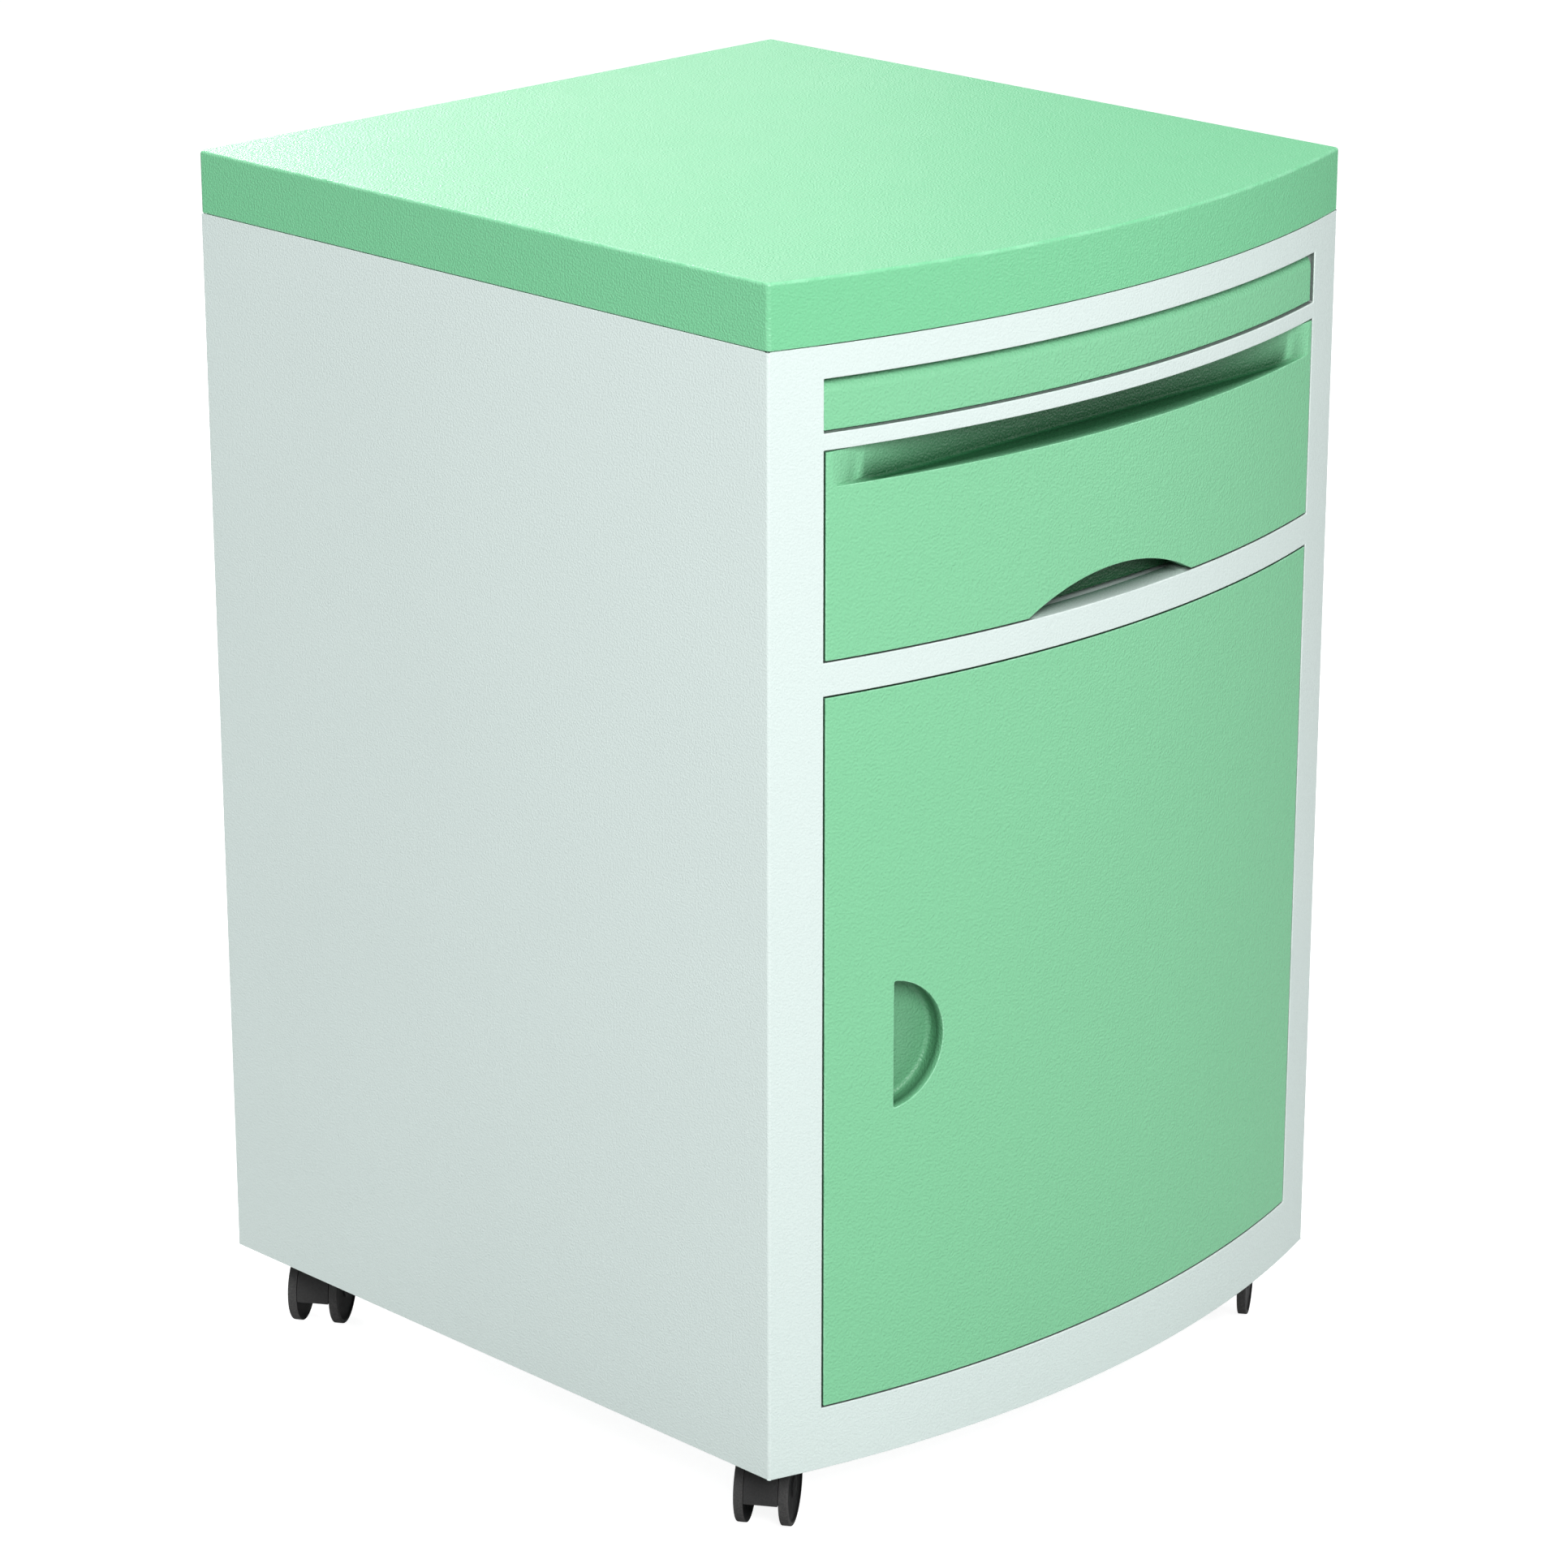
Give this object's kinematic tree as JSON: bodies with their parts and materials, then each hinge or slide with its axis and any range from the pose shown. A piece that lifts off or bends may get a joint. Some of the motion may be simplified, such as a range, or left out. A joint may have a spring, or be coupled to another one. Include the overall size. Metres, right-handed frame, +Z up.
{
  "type": "bedside cabinet",
  "caption": "Mobile bedside cabinet with a bowed front: pull-out tray, drawer on roller runners, cupboard door with a recessed cup handle, on twin-wheel swivel casters.",
  "frame": {"origin": "on the floor under the middle of the cabinet", "axes": "+Z up, the bowed front faces -Y, +X to the right seen from the front"},
  "size_m": [0.48, 0.5152, 0.7565],
  "materials": {
    "mint_plastic": "fine grained",
    "pale_plastic": "fine grained",
    "nylon": "satin",
    "steel": "zinc plated",
    "ferrite": "matt",
    "black_plastic": "satin"
  },
  "bodies": {
    "cabinet": {"top_panel": "mint_plastic", "top_liner": "pale_plastic", "left_side_panel": "pale_plastic", "right_side_panel": "pale_plastic", "back_panel": "pale_plastic", "base_panel": "pale_plastic", "drawer_deck": "pale_plastic", "tray_deck": "pale_plastic", "cupboard_shelf": "pale_plastic", "front_frame": "pale_plastic", "tray_guide_left": "nylon", "tray_guide_right": "nylon", "drawer_rail_left": "steel", "drawer_rail_right": "steel", "lower_hinge_pin": "steel", "upper_hinge_pin": "steel", "catch_housing": "nylon", "catch_magnet": "ferrite", "caster_block_front_left": "nylon", "caster_block_front_right": "nylon", "caster_block_back_left": "nylon", "caster_block_back_right": "nylon", "caster_stem_front_left": "steel", "caster_stem_front_right": "steel", "caster_stem_back_left": "steel", "caster_stem_back_right": "steel"},
    "tray": {"tray_front": "mint_plastic", "tray_board": "pale_plastic"},
    "drawer": {"drawer_front": "mint_plastic", "drawer_box": "pale_plastic", "drawer_runner_left": "steel", "drawer_runner_right": "steel"},
    "door": {"door_shell": "mint_plastic", "door_liner": "pale_plastic", "lower_hinge_bush": "nylon", "upper_hinge_bush": "nylon", "strike_plate": "steel"},
    "rail_roller_left": {"rail_roller_left": "nylon"},
    "runner_roller_left": {"runner_roller_left": "nylon"},
    "rail_roller_right": {"rail_roller_right": "nylon"},
    "runner_roller_right": {"runner_roller_right": "nylon"},
    "caster_front_left": {"caster_hood_front_left": "black_plastic", "caster_axle_front_left": "steel"},
    "caster_front_left_wheel_a": {"caster_wheel_front_left_a": "black_plastic"},
    "caster_front_left_wheel_b": {"caster_wheel_front_left_b": "black_plastic"},
    "caster_front_right": {"caster_hood_front_right": "black_plastic", "caster_axle_front_right": "steel"},
    "caster_front_right_wheel_a": {"caster_wheel_front_right_a": "black_plastic"},
    "caster_front_right_wheel_b": {"caster_wheel_front_right_b": "black_plastic"},
    "caster_back_left": {"caster_hood_back_left": "black_plastic", "caster_axle_back_left": "steel"},
    "caster_back_left_wheel_a": {"caster_wheel_back_left_a": "black_plastic"},
    "caster_back_left_wheel_b": {"caster_wheel_back_left_b": "black_plastic"},
    "caster_back_right": {"caster_hood_back_right": "black_plastic", "caster_axle_back_right": "steel"},
    "caster_back_right_wheel_a": {"caster_wheel_back_right_a": "black_plastic"},
    "caster_back_right_wheel_b": {"caster_wheel_back_right_b": "black_plastic"}
  },
  "joints": [
    {"name": "tray_slide", "type": "slide", "parent": "cabinet", "child": "tray", "axis": [0, -1, 0], "range_m": [0, 0.26]},
    {"name": "drawer_slide", "type": "slide", "parent": "cabinet", "child": "drawer", "axis": [0, -1, 0], "range_m": [0, 0.3]},
    {"name": "door_hinge", "type": "hinge", "parent": "cabinet", "child": "door", "pos_m": [0.1923, -0.22236, 0.0904], "axis": [0, 0, 1], "range_deg": [0, 105]},
    {"name": "rail_roller_left_spin", "type": "hinge", "parent": "cabinet", "child": "rail_roller_left", "pos_m": [-0.2, -0.18665, 0.5536], "axis": [1, 0, 0], "continuous": true},
    {"name": "runner_roller_left_spin", "type": "hinge", "parent": "drawer", "child": "runner_roller_left", "pos_m": [-0.2, 0.20225, 0.5452], "axis": [1, 0, 0], "continuous": true},
    {"name": "rail_roller_right_spin", "type": "hinge", "parent": "cabinet", "child": "rail_roller_right", "pos_m": [0.2, -0.18665, 0.5536], "axis": [1, 0, 0], "continuous": true},
    {"name": "runner_roller_right_spin", "type": "hinge", "parent": "drawer", "child": "runner_roller_right", "pos_m": [0.2, 0.20225, 0.5452], "axis": [1, 0, 0], "continuous": true},
    {"name": "caster_front_left_swivel", "type": "hinge", "parent": "cabinet", "child": "caster_front_left", "pos_m": [-0.2068, -0.18135, 0.0235], "axis": [0, 0, 1], "continuous": true},
    {"name": "caster_front_left_wheel_a_spin", "type": "hinge", "parent": "caster_front_left", "child": "caster_front_left_wheel_a", "pos_m": [-0.20263, -0.17859, 0.0235], "axis": [-0.5519, 0.8339, 0], "continuous": true},
    {"name": "caster_front_left_wheel_b_spin", "type": "hinge", "parent": "caster_front_left", "child": "caster_front_left_wheel_b", "pos_m": [-0.20263, -0.17859, 0.0235], "axis": [-0.5519, 0.8339, 0], "continuous": true},
    {"name": "caster_front_right_swivel", "type": "hinge", "parent": "cabinet", "child": "caster_front_right", "pos_m": [0.2068, -0.18135, 0.0235], "axis": [0, 0, 1], "continuous": true},
    {"name": "caster_front_right_wheel_a_spin", "type": "hinge", "parent": "caster_front_right", "child": "caster_front_right_wheel_a", "pos_m": [0.21097, -0.17859, 0.0235], "axis": [-0.5519, 0.8339, 0], "continuous": true},
    {"name": "caster_front_right_wheel_b_spin", "type": "hinge", "parent": "caster_front_right", "child": "caster_front_right_wheel_b", "pos_m": [0.21097, -0.17859, 0.0235], "axis": [-0.5519, 0.8339, 0], "continuous": true},
    {"name": "caster_back_left_swivel", "type": "hinge", "parent": "cabinet", "child": "caster_back_left", "pos_m": [-0.2068, 0.21795, 0.0235], "axis": [0, 0, 1], "continuous": true},
    {"name": "caster_back_left_wheel_a_spin", "type": "hinge", "parent": "caster_back_left", "child": "caster_back_left_wheel_a", "pos_m": [-0.20263, 0.22071, 0.0235], "axis": [-0.5519, 0.8339, 0], "continuous": true},
    {"name": "caster_back_left_wheel_b_spin", "type": "hinge", "parent": "caster_back_left", "child": "caster_back_left_wheel_b", "pos_m": [-0.20263, 0.22071, 0.0235], "axis": [-0.5519, 0.8339, 0], "continuous": true},
    {"name": "caster_back_right_swivel", "type": "hinge", "parent": "cabinet", "child": "caster_back_right", "pos_m": [0.2068, 0.21795, 0.0235], "axis": [0, 0, 1], "continuous": true},
    {"name": "caster_back_right_wheel_a_spin", "type": "hinge", "parent": "caster_back_right", "child": "caster_back_right_wheel_a", "pos_m": [0.21097, 0.22071, 0.0235], "axis": [-0.5519, 0.8339, 0], "continuous": true},
    {"name": "caster_back_right_wheel_b_spin", "type": "hinge", "parent": "caster_back_right", "child": "caster_back_right_wheel_b", "pos_m": [0.21097, 0.22071, 0.0235], "axis": [-0.5519, 0.8339, 0], "continuous": true}
  ],
  "couplings": [
    {"joint": "rail_roller_left_spin", "follows": "drawer_slide", "rad_per_m": 153.85},
    {"joint": "runner_roller_left_spin", "follows": "drawer_slide", "rad_per_m": 153.85},
    {"joint": "rail_roller_right_spin", "follows": "drawer_slide", "rad_per_m": 153.85},
    {"joint": "runner_roller_right_spin", "follows": "drawer_slide", "rad_per_m": 153.85}
  ]
}
